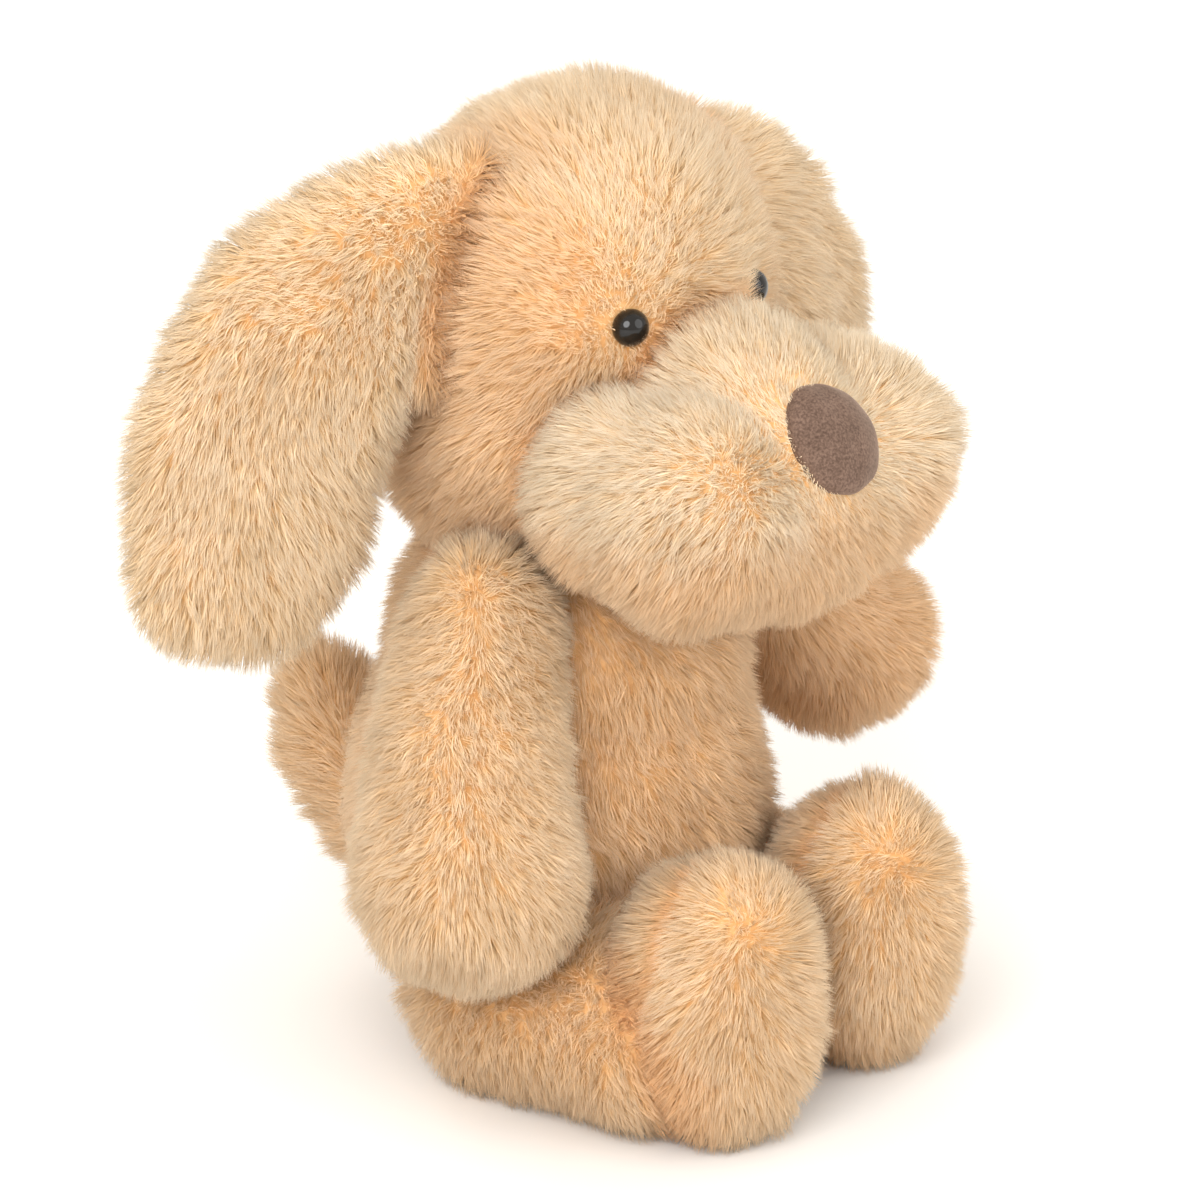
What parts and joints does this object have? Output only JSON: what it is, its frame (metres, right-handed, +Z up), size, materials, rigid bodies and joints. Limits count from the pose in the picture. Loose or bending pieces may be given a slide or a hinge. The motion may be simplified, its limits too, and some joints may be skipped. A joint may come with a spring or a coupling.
{
  "type": "plush dog",
  "caption": "Sitting plush dog with a ball-like head, deep muzzle, drooping ears, stubby limbs and a short tail; sewn covers over stuffing.",
  "frame": {"origin": "centre of the flat patch that the body sits on", "axes": "+Z up, the dog looks along -Y, and its left side is +X"},
  "size_m": [0.2543, 0.205, 0.264],
  "materials": {
    "plush": "long soft pile, apricot",
    "plush_pale": "long soft pile, pale cream",
    "nose_suede": "brushed short nap, taupe",
    "eye_plastic": "polished black",
    "washer_plastic": "natural",
    "thread": "polyester thread",
    "filling": "polyester fibre",
    "bag_cloth": "plain woven",
    "pellets": "natural granules"
  },
  "bodies": {
    "torso": {"body_front": "plush", "body_back": "plush", "body_stuffing": "filling", "pellet_bag": "bag_cloth", "pellets": "pellets"},
    "neck": {"neck_thread": "thread"},
    "head": {"head_cover_left": "plush", "head_cover_right": "plush", "head_stuffing": "filling", "muzzle_cover_left": "plush_pale", "muzzle_cover_right": "plush_pale", "muzzle_stuffing": "filling", "nose_patch": "nose_suede", "eye_left": "eye_plastic", "eye_right": "eye_plastic", "eye_washer_left": "washer_plastic", "eye_washer_right": "washer_plastic"},
    "ear_left": {"ear_left_front": "plush", "ear_left_back": "plush", "ear_left_stuffing": "filling"},
    "ear_right": {"ear_right_front": "plush", "ear_right_back": "plush", "ear_right_stuffing": "filling"},
    "arm_left": {"arm_left_outer": "plush", "arm_left_inner": "plush", "arm_left_stuffing": "filling"},
    "arm_right": {"arm_right_outer": "plush", "arm_right_inner": "plush", "arm_right_stuffing": "filling"},
    "leg_left": {"leg_left_top": "plush", "leg_left_bottom": "plush", "leg_left_stuffing": "filling", "foot_left_sole": "plush", "foot_left_upper": "plush", "foot_left_stuffing": "filling"},
    "leg_right": {"leg_right_top": "plush", "leg_right_bottom": "plush", "leg_right_stuffing": "filling", "foot_right_sole": "plush", "foot_right_upper": "plush", "foot_right_stuffing": "filling"},
    "tail": {"tail_upper": "plush", "tail_lower": "plush", "tail_stuffing": "filling"}
  },
  "joints": [
    {"name": "head_turn", "type": "hinge", "parent": "torso", "child": "neck", "pos_m": [0, -0.003, 0.112], "axis": [0, 0, 1], "range_deg": [-15, 15], "stiffness_Nm_per_rad": 0.6},
    {"name": "head_nod", "type": "hinge", "parent": "neck", "child": "head", "pos_m": [0, -0.003, 0.112], "axis": [1, 0, 0], "range_deg": [-8, 8], "stiffness_Nm_per_rad": 1.5},
    {"name": "arm_left_swing", "type": "hinge", "parent": "torso", "child": "arm_left", "pos_m": [0.054, -0.02, 0.1375], "axis": [-1, 0, 0], "range_deg": [-6, 40], "stiffness_Nm_per_rad": 0.08},
    {"name": "arm_right_swing", "type": "hinge", "parent": "torso", "child": "arm_right", "pos_m": [-0.054, -0.02, 0.1375], "axis": [-1, 0, 0], "range_deg": [-6, 40], "stiffness_Nm_per_rad": 0.08},
    {"name": "leg_left_lift", "type": "hinge", "parent": "torso", "child": "leg_left", "pos_m": [0.039, -0.018, 0.0273], "axis": [-1, 0, 0], "range_deg": [0, 20], "stiffness_Nm_per_rad": 0.1},
    {"name": "leg_right_lift", "type": "hinge", "parent": "torso", "child": "leg_right", "pos_m": [-0.039, -0.018, 0.0273], "axis": [-1, 0, 0], "range_deg": [0, 20], "stiffness_Nm_per_rad": 0.1},
    {"name": "tail_wag", "type": "hinge", "parent": "torso", "child": "tail", "pos_m": [0, 0.062, 0.037], "axis": [0, 0, 1], "range_deg": [-25, 25], "stiffness_Nm_per_rad": 0.03},
    {"name": "ear_left_flap", "type": "hinge", "parent": "head", "child": "ear_left", "pos_m": [0.05429, -0.00077, 0.202], "axis": [-0.184, -0.0096, 0.9829], "range_deg": [-10, 10], "stiffness_Nm_per_rad": 0.08},
    {"name": "ear_right_flap", "type": "hinge", "parent": "head", "child": "ear_right", "pos_m": [-0.05387, 0.00089, 0.202], "axis": [0.1656, -0.0808, 0.9829], "range_deg": [-10, 10], "stiffness_Nm_per_rad": 0.08}
  ]
}
